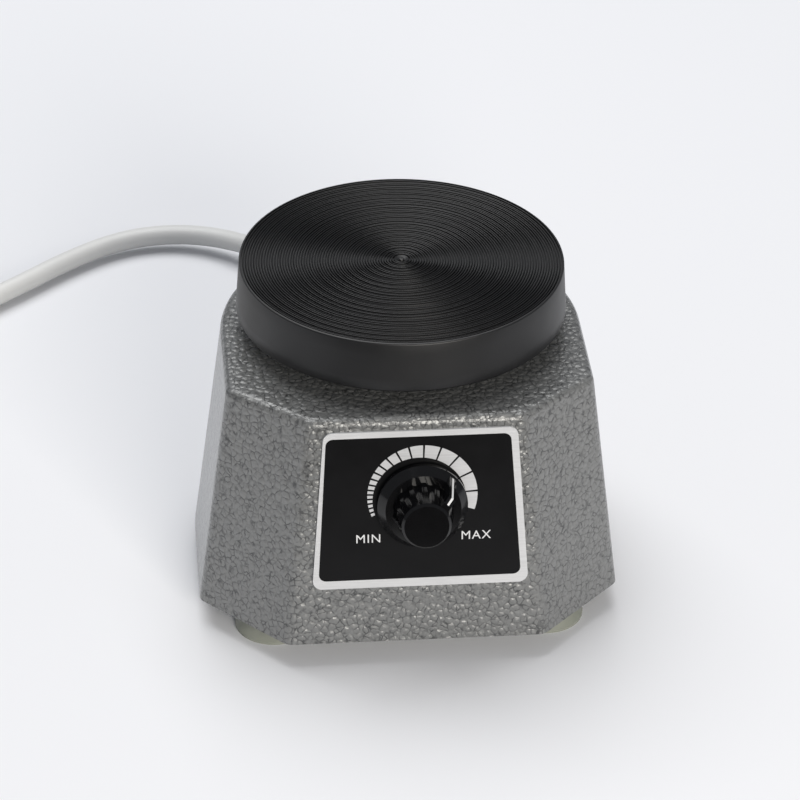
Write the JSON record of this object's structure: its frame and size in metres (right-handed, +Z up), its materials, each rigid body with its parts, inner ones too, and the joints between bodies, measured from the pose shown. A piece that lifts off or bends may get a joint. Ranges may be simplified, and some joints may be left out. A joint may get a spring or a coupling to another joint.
{
  "type": "plaster vibrator",
  "caption": "Small bench vibrator for plaster moulds: round ribbed rubber table on a sprung stem, drafted hammertone housing, one intensity knob, suction feet and a coiled mains lead.",
  "frame": {"origin": "on the bench plane that the four suction feet stand on, under the axis of the round table", "axes": "+Z up along the table's axis, +X to the user's right, -Y towards the user (knob side)"},
  "size_m": [0.2993, 0.2856, 0.1032],
  "materials": {
    "housing_paint": "hammertone grey paint on cast metal",
    "panel": "printed black field with a bare border",
    "steel": "plated",
    "clear_foot": "clear soft plastic",
    "core_iron": "laminated iron, varnished",
    "dark_plastic": "moulded",
    "copper": "enamelled copper wire",
    "spring_steel": "blued spring steel",
    "zinc": "bright plated",
    "board": "glass-fibre board",
    "capacitor": "film capacitor case",
    "terminal": "moulded",
    "lead": "white flexible sheath",
    "tie": "woven strap",
    "mat_rubber": "matte black, ribbed",
    "table_metal": "as cast",
    "knob": "gloss black"
  },
  "bodies": {
    "housing": {"housing_shell": "housing_paint", "front_panel": "panel", "base_plate": "steel", "base_screws": "steel", "foot_front_left": "clear_foot", "foot_front_right": "clear_foot", "foot_rear_left": "clear_foot", "foot_rear_right": "clear_foot", "magnet_core": "core_iron", "coil_bobbin": "dark_plastic", "coil_winding": "copper", "core_brackets": "steel", "core_bolts": "steel", "bracket_screws": "steel", "spring_posts": "steel", "post_screws": "steel", "leaf_spring": "spring_steel", "spring_clamps": "steel", "spring_screws": "steel", "potentiometer": "zinc", "pot_washer": "zinc", "pot_nut": "zinc", "control_board": "board", "board_standoffs": "zinc", "board_screws": "steel", "triac": "dark_plastic", "film_capacitor": "capacitor", "terminal_block": "terminal", "cord_gland": "lead", "mains_cord": "lead", "cord_coil": "lead", "cord_tie": "tie", "mains_plug": "lead", "plug_pins": "zinc"},
    "platform": {"rubber_mat": "mat_rubber", "table_plate": "table_metal", "table_screw": "steel", "drive_stem": "zinc", "armature": "core_iron", "armature_screws": "steel"},
    "knob": {"control_knob": "knob", "control_shaft": "zinc"}
  },
  "joints": [
    {"name": "platform_shake", "type": "slide", "parent": "housing", "child": "platform", "axis": [0, 0, 1], "range_m": [-0.0006, 0.0006], "stiffness_N_per_m": 30000, "springref_m": 0.0001, "deforming": ["leaf_spring"]},
    {"name": "knob_turn", "type": "hinge", "parent": "housing", "child": "knob", "pos_m": [0.00155, -0.05759, 0.05386], "axis": [0, 0.9904, -0.1384], "range_deg": [-194, 106]}
  ]
}
